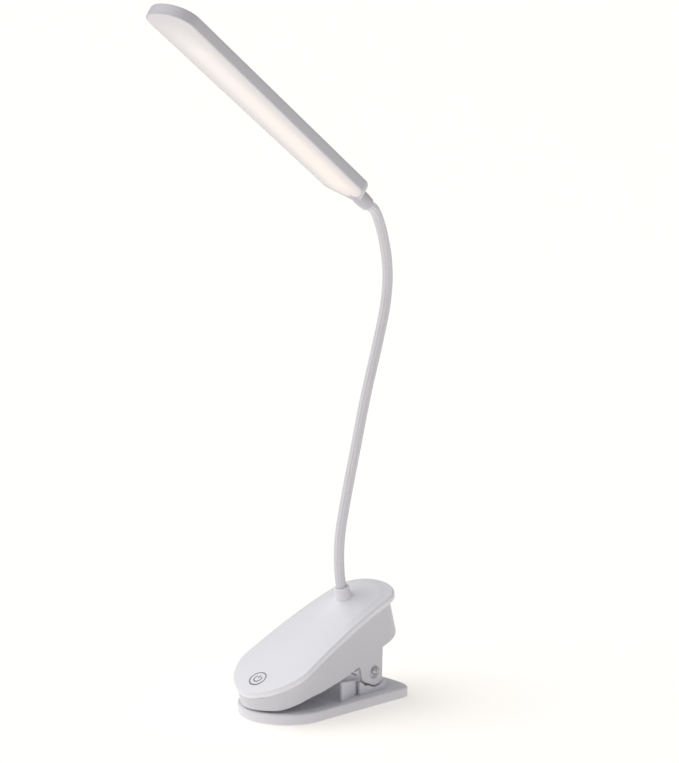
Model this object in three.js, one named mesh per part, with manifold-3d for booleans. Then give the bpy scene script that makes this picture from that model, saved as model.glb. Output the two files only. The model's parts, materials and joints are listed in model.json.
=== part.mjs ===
// A rechargeable clip-on reading lamp: a spring clip that also stands on a table, a flexible neck
// and a flat LED head. Millimetres. X is the width, -Y is the front of the clip, +Z is up.
// The origin is the centre of the clip's underside.
import * as THREE from "three";
import { mergeVertices } from "three/addons/utils/BufferGeometryUtils.js";
import Module from "manifold-3d";

const wasm = await Module();
wasm.setup();

const GAP = 0.3; // what two touching pieces keep between them

// Clip foot
const PLATE_WIDTH = 60;
const PLATE_LENGTH = 108.6;
const PLATE_BOTTOM = 0.5;
const PLATE_TOP = 7.1;
const PLATE_EDGE = 0.9; // how far the plate's edges are rounded back
const PLATE_FRONT_DEPTH = 26.5; // length of the plate's rounded front end
const PLATE_REAR_DEPTH = 10.8;
const PAD_INSET = 6; // from the plate's rim to its pads
const PAD_SUNK = 1.1; // depth of the recess under the lower gripping pad
const PAD_PROUD = 0.5;
const PAD_FRONT_END = -14; // the gripping pads cover the jaw in front of this
const JAW_LIFT = 8.7; // height of the housing's nose over the ground
const GRIP_TOP = JAW_LIFT + 0.8; // the upper gripping pad's bonded face

// Cover: half-widths, where its straight sides end, and how deep and how full its two ends are
const COVER_FRONT = { half: 28.1, y: -34, depth: 25.7, power: 1.75 };
const COVER_REAR = { half: 23.2, y: 36, depth: 18.8, power: 2.2 };
const RIM = 4.2; // height of the cover's edge
const LID = 1.8; // thickness of the cover's top
const CROWN = 0.9; // rise of the cover's middle above its edges
const WALL = 2;
const HOUSING_INSET = 1.2; // the housing's wall stands this far inside the cover's edge
const HOUSING_LEAN = 0.15; // how far the rear wall leans out for each millimetre down

// Hinge
const PIN = { y: 28.4, z: 19.5, radius: 1.5, head: 1.9 };
const PIN_HALF = 21.9; // from the middle to the underside of each head
const RUNNING_FIT = 0.06;
const LUG = { x: 16.8, thick: 2.6, eye: 5.4, foot: 7.4 }; // the two inner lugs that hold the pin
const UPRIGHT_OUTER = 23.3; // from the middle to the outside of each upright
const LOBE_RADIUS = 8.6; // the round ear of the housing about the pin
const LOBE_CLEAR = 9.4; // the hollow in the upright that the ear turns in
const POCKET_RADIUS = 3.6; // the shallow pocket round each end of the pin

// Spring
const WIRE_RADIUS = 0.65;
const COIL_RADIUS = 3.4;
const COIL_TURNS = 4;
const COIL_HALF = 7;

// Screws and the charging inlet
const SCREWS = [[-13.5, -32], [13.5, -32], [-12.5, 40], [12.5, 40]];
const POST_RADIUS = 4.2;
const HEAD_BORE = 2.8;
const SHANK_BORE = 1.7;
const PORT = { width: 7.8, depth: 8, height: 2.9, y: 49.2, z: 50 };

// Neck
const NECK_RADIUS = 3.2;
const BORE_RADIUS = 2.25;
const CORE_RADIUS = 1.5;
const BOSS_TILT = 17; // degrees forward of upright
const BOSS_BASE = new THREE.Vector3(0, 24.6, 58.6);
const BOSS_HEIGHT = 11;

// Head, laid out in its own frame: x across, y towards the tip, z from its back towards its lit face
const HEAD_ORIGIN = new THREE.Vector3(0, 15.6, 329.2);
const HEAD_TILT = 37.9; // degrees above level
const HEAD_THICK = 6.8;
const HEAD_TIP = { half: 19, y: 155, depth: 14.5, power: 2.4 };
const HEAD_ROOT = { half: 16.6, y: -10, taper: 20, neckHalf: 4.4 };
const SOCKET_END = -38; // where the neck enters the head
const FACE_DEPTH = 1.6; // depth of the recess that holds the diffuser
const DIFFUSER_INSET = 1.1;
const LED_COUNT = 12;
const LED_PITCH = 12;

const group = new THREE.Group();
group.name = "clip_reading_lamp";

// Turns a geometry into a manifold solid, facing out whichever way it was wound.
function solid(geometry) {
  const bare = geometry.index ? geometry.toNonIndexed() : geometry.clone();
  bare.deleteAttribute("normal");
  bare.deleteAttribute("uv");
  const merged = mergeVertices(bare, 1e-4);
  const p = merged.attributes.position;
  const tri = new Uint32Array(merged.index.array);
  const [a, b, c] = [new THREE.Vector3(), new THREE.Vector3(), new THREE.Vector3()];
  let volume = 0;
  for (let i = 0; i < tri.length; i += 3) {
    a.fromBufferAttribute(p, tri[i]);
    b.fromBufferAttribute(p, tri[i + 1]);
    c.fromBufferAttribute(p, tri[i + 2]);
    volume += a.dot(b.cross(c));
  }
  if (volume < 0) {
    for (let i = 0; i < tri.length; i += 3) {
      [tri[i + 1], tri[i + 2]] = [tri[i + 2], tri[i + 1]];
    }
  }
  return new wasm.Manifold(new wasm.Mesh({ numProp: 3, vertProperties: p.array, triVerts: tri }));
}

function addMesh(name, made, colour, roughness, metalness = 0) {
  const m = made.getMesh();
  const positions = new Float32Array(m.numVert * 3);
  for (let i = 0; i < m.numVert; i++) {
    positions.set(m.vertProperties.subarray(i * m.numProp, i * m.numProp + 3), i * 3);
  }
  const geometry = new THREE.BufferGeometry();
  geometry.setAttribute("position", new THREE.BufferAttribute(positions, 3));
  geometry.setIndex(new THREE.BufferAttribute(m.triVerts, 1));
  const flat = geometry.toNonIndexed();
  flat.computeVertexNormals();
  const material = new THREE.MeshStandardMaterial({ color: colour, roughness, metalness });
  const mesh = new THREE.Mesh(flat, material);
  mesh.name = name;
  group.add(mesh);
}

// A closed skin through rings of equal length; a ring of one point closes that end.
function loft(rings) {
  const positions = [];
  const put = (v) => positions.push(v.x, v.y, v.z);
  const centre = (ring) =>
    ring.reduce((sum, v) => sum.add(v), new THREE.Vector3()).multiplyScalar(1 / ring.length);
  const fan = (ring, apex, turned) => {
    ring.forEach((v, i) => {
      const next = ring[(i + 1) % ring.length];
      (turned ? [apex, next, v] : [apex, v, next]).forEach(put);
    });
  };
  for (let k = 0; k + 1 < rings.length; k++) {
    const [low, high] = [rings[k], rings[k + 1]];
    for (let i = 0; i < low.length; i++) {
      const j = (i + 1) % low.length;
      [low[i], low[j], high[j], low[i], high[j], high[i]].forEach(put);
    }
  }
  fan(rings[0], centre(rings[0]), true);
  fan(rings.at(-1), centre(rings.at(-1)), false);
  const geometry = new THREE.BufferGeometry();
  geometry.setAttribute("position", new THREE.BufferAttribute(new Float32Array(positions), 3));
  return solid(geometry);
}

// A plan outline, as THREE.Vector2, raised from one height to another.
function prismZ(outline, z0, z1) {
  const shape = new THREE.Shape(outline);
  const geometry = new THREE.ExtrudeGeometry(shape, { depth: z1 - z0, bevelEnabled: false });
  return solid(geometry.translate(0, 0, z0));
}

// A side outline, as [y, z] pairs, carried across from one x to another.
const SIDE_ON = new THREE.Matrix4().makeBasis(
  new THREE.Vector3(0, 1, 0),
  new THREE.Vector3(0, 0, 1),
  new THREE.Vector3(1, 0, 0),
);
function prismX(outline, x0, x1) {
  const shape = new THREE.Shape(outline.map(([y, z]) => new THREE.Vector2(y, z)));
  const geometry = new THREE.ExtrudeGeometry(shape, { depth: x1 - x0, bevelEnabled: false });
  return solid(geometry.applyMatrix4(SIDE_ON).translate(x0, 0, 0));
}

function box(width, length, height) {
  return solid(new THREE.BoxGeometry(width, length, height));
}

// A turned solid about an axis: profile as [radius, distance along the axis], on the axis at both ends.
function turned(profile, sides, origin, axis) {
  const lathe = new THREE.LatheGeometry(profile.map(([r, t]) => new THREE.Vector2(r, t)), sides);
  const turn = new THREE.Quaternion().setFromUnitVectors(new THREE.Vector3(0, 1, 0), axis);
  return solid(lathe.applyQuaternion(turn).translate(origin.x, origin.y, origin.z));
}

function rod(radius, from, to, sides) {
  const axis = to.clone().sub(from);
  const length = axis.length();
  return turned([[0, 0], [radius, 0], [radius, length], [0, length]], sides, from, axis.normalize());
}

function ball(radius, centre) {
  const sphere = new THREE.SphereGeometry(radius, 12, 8);
  return solid(sphere.translate(centre.x, centre.y, centre.z));
}

// Moves an outline's points inwards along their normals.
function inset(points, by) {
  return points.map((p, i) => {
    const before = points[(i + points.length - 1) % points.length];
    const after = points[(i + 1) % points.length];
    const along = after.clone().sub(before).normalize();
    return new THREE.Vector2(p.x - along.y * by, p.y + along.x * by);
  });
}

// One end of an outline: a superellipse quarter from the side (t = 0) to the middle (t = 1).
function endPoint(end, t, sign) {
  const angle = (t * Math.PI) / 2;
  const across = end.half * Math.cos(angle) ** (2 / end.power);
  const along = end.depth * Math.sin(angle) ** (2 / end.power);
  return new THREE.Vector2(across, end.y + sign * along);
}

// A symmetric outline, anticlockwise from the rear, through a front end and a rear end.
function twoEnded(front, rear, steps, between) {
  const right = [];
  for (let i = steps; i >= 0; i--) right.push(endPoint(front, i / steps, -1));
  for (let i = 1; i < between; i++) {
    const t = i / between;
    const y = front.y + (rear.y - front.y) * t;
    right.push(new THREE.Vector2(front.half + (rear.half - front.half) * t, y));
  }
  for (let i = 0; i <= steps; i++) right.push(endPoint(rear, i / steps, 1));
  const left = right.slice(1, -1).reverse().map((p) => new THREE.Vector2(-p.x, p.y));
  return right.concat(left);
}

const coverOutline = twoEnded(COVER_FRONT, COVER_REAR, 8, 4);

// Height of the cover's edge above the underside, along the clip: steep at the front, easing to the rear.
function coverHeight(y) {
  return 48.6 + 0.432 * y - 0.00142 * y * y - 0.0000047 * y * y * y;
}

// The cover's top at a point: its edge height and a crown that fades towards the sides.
function coverTop(x, y) {
  const across = Math.min(1, Math.abs(x) / COVER_FRONT.half);
  return coverHeight(y) + CROWN * (1 - across * across);
}

const vec = (p, z) => new THREE.Vector3(p.x, p.y, z);

// Lower jaw: the foot plate, its pads and the uprights and lugs that carry the pin

const plateHalf = PLATE_WIDTH / 2;
const plateFront = {
  half: plateHalf,
  y: -PLATE_LENGTH / 2 + PLATE_FRONT_DEPTH,
  depth: PLATE_FRONT_DEPTH,
  power: 1.9,
};
const plateRear = {
  half: plateHalf,
  y: PLATE_LENGTH / 2 - PLATE_REAR_DEPTH,
  depth: PLATE_REAR_DEPTH,
  power: 3.7,
};
const plateOutline = twoEnded(plateFront, plateRear, 7, 1);

function plateSolid() {
  const ring = (by, z) => inset(plateOutline, by).map((p) => vec(p, z));
  return loft([
    ring(PLATE_EDGE, PLATE_BOTTOM),
    ring(0, PLATE_BOTTOM + PLATE_EDGE),
    ring(0, PLATE_TOP - PLATE_EDGE),
    ring(PLATE_EDGE * 0.3, PLATE_TOP - PLATE_EDGE * 0.3),
    ring(PLATE_EDGE, PLATE_TOP),
  ]);
}

// Points about the pin's axis, seen from the side, as [y, z] pairs.
function arcAboutPin(radius, fromDegrees, toDegrees, steps) {
  const points = [];
  for (let i = 0; i <= steps; i++) {
    const angle = THREE.MathUtils.degToRad(fromDegrees + ((toDegrees - fromDegrees) * i) / steps);
    points.push([PIN.y + radius * Math.cos(angle), PIN.z + radius * Math.sin(angle)]);
  }
  return points;
}

// Uprights and lugs start this low inside the plate, so that they join it.
const ROOTED = PLATE_TOP - 1;

// A panel beside the ear, with a hollow for it, a step across its front and a splayed panel ahead.
function upright(side) {
  const ear = [
    [36.9, ROOTED], [36.9, 12.6], ...arcAboutPin(LOBE_CLEAR, -47, -127, 8),
    [19.2, 12.3], [15.9, 15.2], [13.4, 16.2], [13.4, ROOTED],
  ];
  const outer = side * UPRIGHT_OUTER;
  const inner = side * (UPRIGHT_OUTER - WALL);
  const earPanel = prismX(ear, Math.min(inner, outer), Math.max(inner, outer));
  const foot = side * (UPRIGHT_OUTER - 4.6);
  const stepOutline = [[12, ROOTED], [12, 16.4], [14.6, 15.7], [14.6, ROOTED]];
  const step = prismX(stepOutline, Math.min(foot, outer), Math.max(foot, outer));
  const corners = [[26.2, -4.6], [20.9, 13], [18.9, 13], [24.2, -4.6]];
  const panel = corners.map(([x, y]) => new THREE.Vector2(side * x, y));
  const profile = [[-6, ROOTED], [-6, 19.2], [3, 18.6], [13.4, 16.4], [13.4, ROOTED]];
  const tall = prismZ(side > 0 ? panel : panel.reverse(), ROOTED, 21);
  return earPanel.add(step).add(tall.intersect(prismX(profile, -plateHalf, plateHalf)));
}

function lug(side) {
  const x0 = side * LUG.x - LUG.thick / 2;
  const eye = arcAboutPin(LUG.eye, 0, 180, 10);
  const outline = [[PIN.y + LUG.foot, ROOTED], ...eye, [PIN.y - LUG.foot, ROOTED]];
  return prismX(outline, x0, x0 + LUG.thick);
}

const acrossX = (x) => new THREE.Vector3(x, PIN.y, PIN.z);
const boreSides = 24;
const boreCorner = (PIN.radius + RUNNING_FIT) / Math.cos(Math.PI / boreSides); // its flats clear the pin
const pinHole = rod(boreCorner, acrossX(-plateHalf), acrossX(plateHalf), boreSides);

const smaller = (end, by) => ({ ...end, half: end.half - by, depth: end.depth - by });
const padOutline = twoEnded(smaller(plateFront, PAD_INSET), smaller(plateRear, PAD_INSET), 6, 1);

// The part of an outline in front of a line across it.
function frontOf(outline, yMax) {
  const kept = outline.filter((p) => p.y < yMax - 0.5);
  const right = kept.filter((p) => p.x > -0.01);
  const left = kept.filter((p) => p.x <= -0.01);
  const corners = [new THREE.Vector2(right.at(-1).x, yMax), new THREE.Vector2(left[0].x, yMax)];
  return right.concat(corners, left);
}

const lowerPad = frontOf(padOutline, PAD_FRONT_END);
const lowerPadBottom = PLATE_TOP - PAD_SUNK;

let lowerJaw = plateSolid();
for (const side of [-1, 1]) lowerJaw = lowerJaw.add(upright(side)).add(lug(side));
lowerJaw = lowerJaw
  .subtract(pinHole)
  .subtract(prismZ(inset(padOutline, -GAP), -1, PLATE_BOTTOM + 0.9))
  .subtract(prismZ(inset(lowerPad, -GAP), lowerPadBottom, PLATE_TOP + 3));
addMesh("lower_jaw", lowerJaw, 0xe4e4e8, 0.42);
addMesh("foot_pad", prismZ(padOutline, 0, PLATE_BOTTOM + 0.6), 0x9a9aa0, 0.8);
const lowerPadSolid = prismZ(lowerPad, lowerPadBottom + GAP, PLATE_TOP + PAD_PROUD);
addMesh("lower_grip_pad", lowerPadSolid, 0xb9b9bf, 0.8);

// Hinge pin and spring

let pin = rod(PIN.radius, acrossX(-PIN_HALF), acrossX(PIN_HALF), boreSides);
for (const side of [-1, 1]) {
  const axis = new THREE.Vector3(side, 0, 0);
  const start = acrossX(side * (PIN_HALF - 0.05));
  const dome = [[0, 0], [PIN.head, 0], [PIN.head, 0.8], [PIN.head * 0.7, 1.3], [0, 1.5]];
  pin = pin.add(turned(dome, 16, start, axis));
}
addMesh("hinge_pin", pin, 0xc8c9cc, 0.18, 1);

// The coil runs along the pin; one leg lies on the plate and the other under the housing's raised floor.
class SpringPath extends THREE.Curve {
  getPoint(t, target = new THREE.Vector3()) {
    const legLow = new THREE.Vector3(-COIL_HALF, PIN.y + 12.5, PLATE_TOP + 1.1);
    const legHigh = new THREE.Vector3(COIL_HALF, PIN.y + 11, PIN.z + 10.2);
    const wound = COIL_TURNS * 360 - 230; // the last turn stops where the upper leg leaves
    const turn = (share) => {
      const [[y, z]] = arcAboutPin(COIL_RADIUS, -115 - share * wound, 0, 1);
      return new THREE.Vector3(-COIL_HALF + share * 2 * COIL_HALF, y, z);
    };
    const leg = 0.1;
    if (t < leg) return target.lerpVectors(legLow, turn(0), t / leg);
    if (t > 1 - leg) return target.lerpVectors(turn(1), legHigh, (t - 1 + leg) / leg);
    return target.copy(turn((t - leg) / (1 - 2 * leg)));
  }
}

function circle(radius, sides) {
  const shape = new THREE.Shape();
  for (let i = 0; i < sides; i++) {
    const angle = (i / sides) * 2 * Math.PI;
    const point = [radius * Math.cos(angle), radius * Math.sin(angle)];
    if (i) shape.lineTo(...point);
    else shape.moveTo(...point);
  }
  return shape;
}

const springSweep = { steps: 54, extrudePath: new SpringPath() };
const springGeometry = new THREE.ExtrudeGeometry(circle(WIRE_RADIUS, 6), springSweep);
addMesh("torsion_spring", solid(springGeometry), 0x8f9196, 0.3, 1);

// Housing

// The housing's bottom edge seen from the side, from the nose to the rear, round the ear.
const housingEdge = [
  [-64, JAW_LIFT], [-46, JAW_LIFT], [-41, 11.6], [-26, 15.3], [-3, 20], [12.4, 24.4], [14.6, 24.6],
  [16.2, 17.2], [19.8, 14.1], ...arcAboutPin(LOBE_RADIUS, -105, -45, 6),
  [34.4, 33], [44.5, 37], [49, 39.2], [52, 42], [53, 46], [70, 46],
];
const topSteps = 14;
const housingTop = [];
for (let i = 0; i <= topSteps; i++) {
  const y = 70 - (i / topSteps) * 134;
  housingTop.push([y, coverHeight(y) - RIM - GAP]);
}

// The housing's plan outline at a height: the rear leans out downwards.
function housingOutline(by, z) {
  const rear = { ...COVER_REAR, depth: COVER_REAR.depth + (64 - z) * HOUSING_LEAN };
  return inset(twoEnded(COVER_FRONT, rear, 8, 1), by).map((p) => vec(p, z));
}

const earWall = HOUSING_INSET + WALL;
const outer = loft([housingOutline(HOUSING_INSET, 4), housingOutline(HOUSING_INSET, 76)]);
const inner = loft([housingOutline(earWall, 4), housingOutline(earWall, 76)]);
const aboveFloor = prismX(
  [
    [-70, 10.9], [-45.5, 10.9], [-40, 14.4], [-25, 17.8], [-3, 22.4], [9, 26.6], [10.6, 33.2],
    [33, 35.4], [43.5, 39.4], [47, 43], [48, 48], [75, 48], [75, 80], [-70, 80],
  ],
  -plateHalf,
  plateHalf,
);
const springBay = prismX([[14, -1], [14, 31], [75, 31], [75, -1]], -plateHalf, plateHalf);

const screwSeat = ([, y]) => (y < 0 ? 17.6 : 39.6); // height of the shelf under the screw's head
const upFrom = ([x, y], z) => new THREE.Vector3(x, y, z);

const envelope = outer.intersect(prismX([...housingEdge, ...housingTop], -plateHalf, plateHalf));
let housing = envelope.subtract(inner.intersect(aboveFloor)).subtract(inner.intersect(springBay));
for (const at of SCREWS) {
  const seat = screwSeat(at);
  const post = rod(POST_RADIUS, upFrom(at, seat - 6), upFrom(at, seat + 3), 16);
  housing = housing.add(post.intersect(envelope));
  housing = housing.subtract(rod(HEAD_BORE, upFrom(at, seat - 12), upFrom(at, seat), 16));
  housing = housing.subtract(rod(SHANK_BORE, upFrom(at, seat - 1), upFrom(at, seat + 6), 16));
}

// The pin's ends lie in shallow pockets, with the pocket a little ahead of the pin.
housing = housing.subtract(pinHole);
for (const side of [-1, 1]) {
  const pocket = (x) => new THREE.Vector3(side * x, PIN.y - 1, PIN.z);
  housing = housing.subtract(rod(POCKET_RADIUS, pocket(PIN_HALF - GAP), pocket(plateHalf), 20));
}

const portWindow = box(PORT.width + 2 * GAP, 20, PORT.height + 2 * GAP);
housing = housing.subtract(portWindow.translate(0, PORT.y + 6, PORT.z));

const upperPadOutline = frontOf(inset(twoEnded(COVER_FRONT, COVER_REAR, 8, 1), 8), -46.4);
housing = housing.subtract(prismZ(inset(upperPadOutline, -GAP), 0, GRIP_TOP + GAP));
addMesh("clip_housing", housing, 0xdcdce1, 0.42);
const upperPadSolid = prismZ(upperPadOutline, PLATE_TOP + PAD_PROUD + GAP, GRIP_TOP);
addMesh("upper_grip_pad", upperPadSolid, 0xb9b9bf, 0.8);

// The inlet is a shell with a tongue in its mouth, which faces the rear.
const portRear = PORT.y + PORT.depth / 2;
let port = box(PORT.width, PORT.depth, PORT.height).translate(0, PORT.y, PORT.z);
port = port.subtract(box(PORT.width - 1, 5, PORT.height - 1).translate(0, portRear - 2, PORT.z));
port = port.add(box(PORT.width - 3, 5.5, 0.6).translate(0, portRear - 3.2, PORT.z));
addMesh("charge_port", port, 0xb8bac0, 0.3, 1);

// Cover and what it closes in

// A ring of the cover: the outline drawn in by a distance, then shrunk by a share, at the height
// that a function of (x, y) gives.
function coverRing(by, shrink, height) {
  return inset(coverOutline, by).map((p) => {
    const q = new THREE.Vector2(p.x * shrink, p.y * shrink);
    return vec(q, height(q.x, q.y));
  });
}
const under = (drop) => (x, y) => coverHeight(y) - drop;
const over = (drop) => (x, y) => coverTop(x, y) - drop;

const bossAxis = new THREE.Vector3(0, -Math.sin(BOSS_TILT * THREE.MathUtils.DEG2RAD), 0);
bossAxis.z = Math.cos(BOSS_TILT * THREE.MathUtils.DEG2RAD);
const onBoss = (t) => BOSS_BASE.clone().addScaledVector(bossAxis, t);

let cover = loft([
  coverRing(0, 0.6, under(RIM)), coverRing(1, 1, under(RIM)),
  coverRing(0, 1, under(RIM - 0.9)), coverRing(0, 1, under(1.4)), coverRing(0.5, 1, under(0.4)),
  coverRing(1.4, 1, over(0)), coverRing(0, 0.8, over(0)), coverRing(0, 0.5, over(0)),
]);
const coverHollow = loft([
  coverRing(4.2, 0.4, under(9)), coverRing(4.2, 0.75, under(9)), coverRing(4.2, 1, under(9)),
  coverRing(4.2, 1, under(LID)), coverRing(4.2, 0.75, under(LID)), coverRing(4.2, 0.4, under(LID)),
]);
cover = cover.subtract(coverHollow);
const bossProfile = [
  [0, -3.4], [7, -3.4], [8.9, -0.4], [6.9, 1.4], [5.6, 4], [5, 7.5],
  [4.7, BOSS_HEIGHT - 0.4], [4.3, BOSS_HEIGHT], [0, BOSS_HEIGHT],
];
cover = cover.add(turned(bossProfile, 24, BOSS_BASE, bossAxis));
for (const at of SCREWS) {
  const foot = screwSeat(at) + 3 + GAP;
  cover = cover.add(rod(3.1, upFrom(at, foot), upFrom(at, coverHeight(at[1]) - 0.8), 16));
  cover = cover.subtract(rod(1.5, upFrom(at, foot - 1), upFrom(at, foot + 8), 12));
}
cover = cover.subtract(rod(NECK_RADIUS + 0.4, onBoss(-20), onBoss(30), 20));
addMesh("top_cover", cover, 0xefeff2, 0.38);

const screwProfile = [[0, -1.8], [2.4, -1.6], [2.4, 0], [1.25, 0.02], [1.25, 9.6], [0, 10.2]];
SCREWS.forEach((at, i) => {
  const head = upFrom(at, screwSeat(at) - GAP);
  const screw = turned(screwProfile, 12, head, new THREE.Vector3(0, 0, 1));
  addMesh("cover_screw_" + (i + 1), screw, 0x9b9da2, 0.3, 1);
});

// A box laid parallel to the cover's slope, lifted from the battery's centre along the slope's normal.
const SLOPE = THREE.MathUtils.degToRad(22.5);
const TRAY = { y: -8, z: 31 }; // centre of the battery
function slopedBox(width, length, height, lift) {
  const geometry = new THREE.BoxGeometry(width, length, height).translate(0, 0, lift);
  return solid(geometry.rotateX(SLOPE).translate(0, TRAY.y, TRAY.z));
}
addMesh("battery_cell", slopedBox(32, 39, 8, 0), 0x5b7fa8, 0.35);
addMesh("control_board", slopedBox(19, 46, 1.2, 6.4), 0x1f6b45, 0.5);

const SENSOR_SLOPE = THREE.MathUtils.degToRad(29.5);
const sensorAxis = new THREE.Vector3(0, -Math.sin(SENSOR_SLOPE), Math.cos(SENSOR_SLOPE));
const sensorAt = new THREE.Vector3(0, -47.2, 21.4);
const sensorDisc = turned([[0, 0], [5.6, 0], [5.6, 0.8], [0, 0.8]], 20, sensorAt, sensorAxis);
addMesh("touch_sensor", sensorDisc, 0xc58a4a, 0.35, 1);

const hexNut = turned([[0, -6.8], [6.4, -6.8], [6.4, -3.8], [0, -3.8]], 6, BOSS_BASE, bossAxis);
const nutBore = rod(NECK_RADIUS + GAP, onBoss(-12), onBoss(0), 20);
addMesh("neck_nut", hexNut.subtract(nutBore), 0xa9abb0, 0.3, 1);

// The head's frame leans up and forward from the end of the neck.
const tilt = HEAD_TILT * THREE.MathUtils.DEG2RAD;
const headAcross = new THREE.Vector3(1, 0, 0);
const headAlong = new THREE.Vector3(0, -Math.cos(tilt), Math.sin(tilt));
const headFacing = headAcross.clone().cross(headAlong);
const headMatrix = new THREE.Matrix4().makeBasis(headAcross, headAlong, headFacing).setPosition(HEAD_ORIGIN);
const inHead = (x, y, z) => new THREE.Vector3(x, y, z).applyMatrix4(headMatrix);
const headMid = HEAD_THICK / 2;

// Neck: a bendable copper core in a sleeve, cut where it bends

const freeNeck = [
  [19.3, 82], [19.7, 100], [24.3, 122], [32.1, 151], [42, 187],
  [51.4, 216], [58.2, 240], [60.2, 259], [57, 280],
];
const neckPath = new THREE.CatmullRomCurve3([
  onBoss(-8), onBoss(0), onBoss(BOSS_HEIGHT),
  ...freeNeck.map(([y, z]) => new THREE.Vector3(0, y, z)),
  inHead(0, SOCKET_END - 7, headMid - 0.2), inHead(0, SOCKET_END, headMid),
  inHead(0, SOCKET_END + 7, headMid), inHead(0, SOCKET_END + 14, headMid),
]);
const neckLength = neckPath.getLength();
const PIVOT_SHARES = [0.1, 0.3, 0.5, 0.7, 0.9];
const pivots = PIVOT_SHARES.map((share) => neckPath.getPointAt(share));

// A round bar along a stretch of the neck's path.
function along(radius, from, to, sides, steps) {
  const points = [];
  for (let i = 0; i <= steps; i++) points.push(neckPath.getPointAt(from + ((to - from) * i) / steps));
  const path = new THREE.CatmullRomCurve3(points);
  return solid(new THREE.ExtrudeGeometry(circle(radius, sides), { steps, extrudePath: path }));
}

// Each stretch ends in a ball about the pivot above it and starts in a cup about the pivot below it.
const share = (mm) => mm / neckLength;
function sleeve(from, to, ballAt, cupAt) {
  const steps = Math.max(3, Math.round(((to - from) * neckLength) / 10));
  let made = along(NECK_RADIUS, from, to, 12, steps);
  if (ballAt) made = made.add(ball(NECK_RADIUS * 0.985, ballAt));
  const bore = along(BORE_RADIUS, Math.max(0, from - share(2)), Math.min(1, to + share(5)), 8, 7);
  made = made.subtract(bore);
  if (cupAt) made = made.subtract(ball(NECK_RADIUS + GAP + 0.1, cupAt));
  return made;
}
function core(from, to) {
  return along(CORE_RADIUS, from, to, 6, Math.max(2, Math.round(((to - from) * neckLength) / 9)));
}

const NECK_COLOUR = 0xd6d6da;
addMesh("neck_root_sleeve", sleeve(share(2), PIVOT_SHARES[0], pivots[0], null), NECK_COLOUR, 0.55);
addMesh("neck_root_core", core(share(0.5), PIVOT_SHARES[0] + share(1)), 0xb87333, 0.4, 1);
for (let i = 0; i < 4; i++) {
  const [from, to] = [PIVOT_SHARES[i], PIVOT_SHARES[i + 1]];
  addMesh("neck_sleeve_" + (i + 1), sleeve(from, to, pivots[i + 1], pivots[i]), NECK_COLOUR, 0.55);
  addMesh("neck_core_" + (i + 1), core(from + share(4.2), to + share(1)), 0xb87333, 0.4, 1);
}
const last = PIVOT_SHARES.at(-1);
addMesh("neck_end_sleeve", sleeve(last, 1 - share(6), null, pivots.at(-1)), NECK_COLOUR, 0.55);
addMesh("neck_end_core", core(last + share(4.2), 1 - share(1)), 0xb87333, 0.4, 1);

// Head

// The head's outline: a round socket that swells to square shoulders, sides that widen, and a rounded tip.
function headOutline() {
  const right = [];
  const { half, y, taper, neckHalf } = HEAD_ROOT;
  for (let i = 0; i <= 8; i++) {
    const t = i / 8;
    const swell = t * t * (3 - 2 * t);
    right.push(new THREE.Vector2(neckHalf + (half - neckHalf) * swell, y - taper * (1 - t)));
  }
  for (let i = 1; i < 5; i++) {
    const t = i / 5;
    right.push(new THREE.Vector2(half + (HEAD_TIP.half - half) * t, y + (HEAD_TIP.y - y) * t));
  }
  for (let i = 0; i <= 9; i++) right.push(endPoint(HEAD_TIP, i / 9, 1));
  const left = right.slice(0, -1).reverse().map((p) => new THREE.Vector2(-p.x, p.y));
  return right.concat(left);
}

const headRing = (by, z, shrink = 0) =>
  inset(headOutline(), by).map((p) => inHead(p.x * (1 - shrink), p.y, z));

let shell = loft([
  headRing(1.8, 0), headRing(0.6, 0.35), headRing(0, 1.2),
  headRing(0, HEAD_THICK - 0.6), headRing(0.3, HEAD_THICK),
]);
const socketProfile = [
  [0, SOCKET_END], [4.2, SOCKET_END], [4.5, SOCKET_END + 1], [4.9, -30], [5, -26], [4.2, -18], [0, -8],
];
shell = shell.add(turned(socketProfile, 20, inHead(0, 0, headMid), headAlong));
const faceBottom = HEAD_THICK - FACE_DEPTH;
const faceRecess = loft([headRing(DIFFUSER_INSET, faceBottom), headRing(DIFFUSER_INSET, HEAD_THICK + 4)]);
const lampRoom = loft([headRing(3.6, 1.4, 0.02), headRing(3.6, faceBottom + 0.5, 0.02)]);
const neckBore = rod(NECK_RADIUS + 0.5, inHead(0, SOCKET_END - 4, headMid), inHead(0, -22.5, headMid), 20);
addMesh("head_shell", shell.subtract(faceRecess).subtract(lampRoom).subtract(neckBore), 0xd2d2d8, 0.4);

const diffuser = loft([
  headRing(DIFFUSER_INSET + GAP, faceBottom + GAP), headRing(DIFFUSER_INSET + GAP, HEAD_THICK - 0.3),
  headRing(DIFFUSER_INSET + 1.2, HEAD_THICK),
]);
const clearOfSocket = rod(5.6, inHead(0, -40, headMid), inHead(0, -21.5, headMid), 20);
addMesh("diffuser", diffuser.subtract(clearOfSocket), 0xf6f2ec, 0.35);

const boardBox = new THREE.BoxGeometry(24, 156, 1).translate(0, 70, 2.3).applyMatrix4(headMatrix);
addMesh("led_board", solid(boardBox), 0xf0f0ec, 0.4);
for (let i = 0; i < LED_COUNT; i++) {
  const chip = new THREE.BoxGeometry(2.8, 3.5, 0.8).translate(0, 4 + i * LED_PITCH, 3.5);
  const name = "led_chip_" + String(i + 1).padStart(2, "0");
  addMesh(name, solid(chip.applyMatrix4(headMatrix)), 0xffe9b0, 0.3);
}

export default group;
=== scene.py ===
import json
import math

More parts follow.
